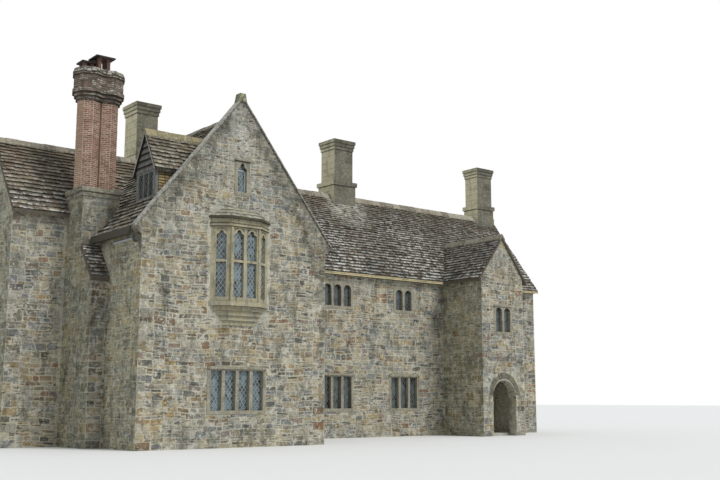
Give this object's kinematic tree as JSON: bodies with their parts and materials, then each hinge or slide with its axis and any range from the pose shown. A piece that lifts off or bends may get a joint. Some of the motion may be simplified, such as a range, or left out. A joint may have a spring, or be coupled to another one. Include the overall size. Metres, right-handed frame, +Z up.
{
  "type": "manor house",
  "caption": "Stone manor house with a gabled cross wing, oriel window, long range with porch, brick stack and ashlar chimneys under stone-slab roofs.",
  "frame": {"origin": "centre of the base of the cross wing's front gable wall, at ground level", "axes": "+X along the front towards the long range, +Y into the house, +Z up"},
  "size_m": [27.23, 11.045, 14.05],
  "materials": {
    "rubble_stone": "coursed sandstone rubble, weathered, lime jointed",
    "dressed_stone": "smooth dressed sandstone, ochre, lichened",
    "coping_stone": "pale sawn slabs with lichen",
    "ashlar": "grey ashlar with dark weathering at the cap",
    "roof_slabs": "split stone slates, mossy",
    "ridge_tiles": "half-round clay ridges bedded in lime",
    "brick": "hand-made red brick, pale joints",
    "oak": "weathered grey oak",
    "floor_boards": "wide sawn boards",
    "flagstone": "worn flagstones",
    "leaded_glass": "old glass in lead cames",
    "cast_gutter": "painted cast iron"
  },
  "bodies": {
    "root": {"wing_gable_wall": "rubble_stone", "wing_left_wall": "rubble_stone", "wing_right_wall": "rubble_stone", "wing_back_wall": "rubble_stone", "hall_front_wall": "rubble_stone", "hall_end_wall": "rubble_stone", "hall_back_wall": "rubble_stone", "range_front_wall_left": "rubble_stone", "range_doorway_head": "rubble_stone", "range_front_wall_right": "rubble_stone", "range_end_wall": "rubble_stone", "range_back_wall": "rubble_stone", "porch_side_walls": "rubble_stone", "porch_front_wall": "rubble_stone", "stack_base": "rubble_stone", "stack_buttress": "rubble_stone", "bay_window_stone": "dressed_stone", "bay_window_corbel": "dressed_stone", "bay_window_roof": "dressed_stone", "gable_windows_stone": "dressed_stone", "range_windows_stone": "dressed_stone", "rear_windows_stone": "dressed_stone", "end_windows_stone": "dressed_stone", "porch_window_stone": "dressed_stone", "range_cornice": "dressed_stone", "wing_gable_coping": "coping_stone", "crossing_chimney": "ashlar", "middle_chimney": "ashlar", "end_chimney": "ashlar", "wing_left_roof": "roof_slabs", "wing_right_roof": "roof_slabs", "hall_front_roof": "roof_slabs", "hall_back_roof": "roof_slabs", "range_front_roof": "roof_slabs", "range_back_roof": "roof_slabs", "porch_roof": "roof_slabs", "dormer_roof": "roof_slabs", "buttress_weathering": "roof_slabs", "stack_cowls": "roof_slabs", "ridge_stones": "ridge_tiles", "stack_shafts": "brick", "stack_head": "brick", "dormer_front": "oak", "dormer_cheeks": "oak", "first_floor": "floor_boards", "attic_floor": "floor_boards", "ground_floor": "flagstone", "bay_window_glass": "leaded_glass", "gable_windows_glass": "leaded_glass", "dormer_glass": "leaded_glass", "range_windows_glass": "leaded_glass", "rear_windows_glass": "leaded_glass", "end_windows_glass": "leaded_glass", "porch_window_glass": "leaded_glass", "wing_gutter": "cast_gutter", "wing_rain_pipe": "cast_gutter"}
  },
  "joints": []
}
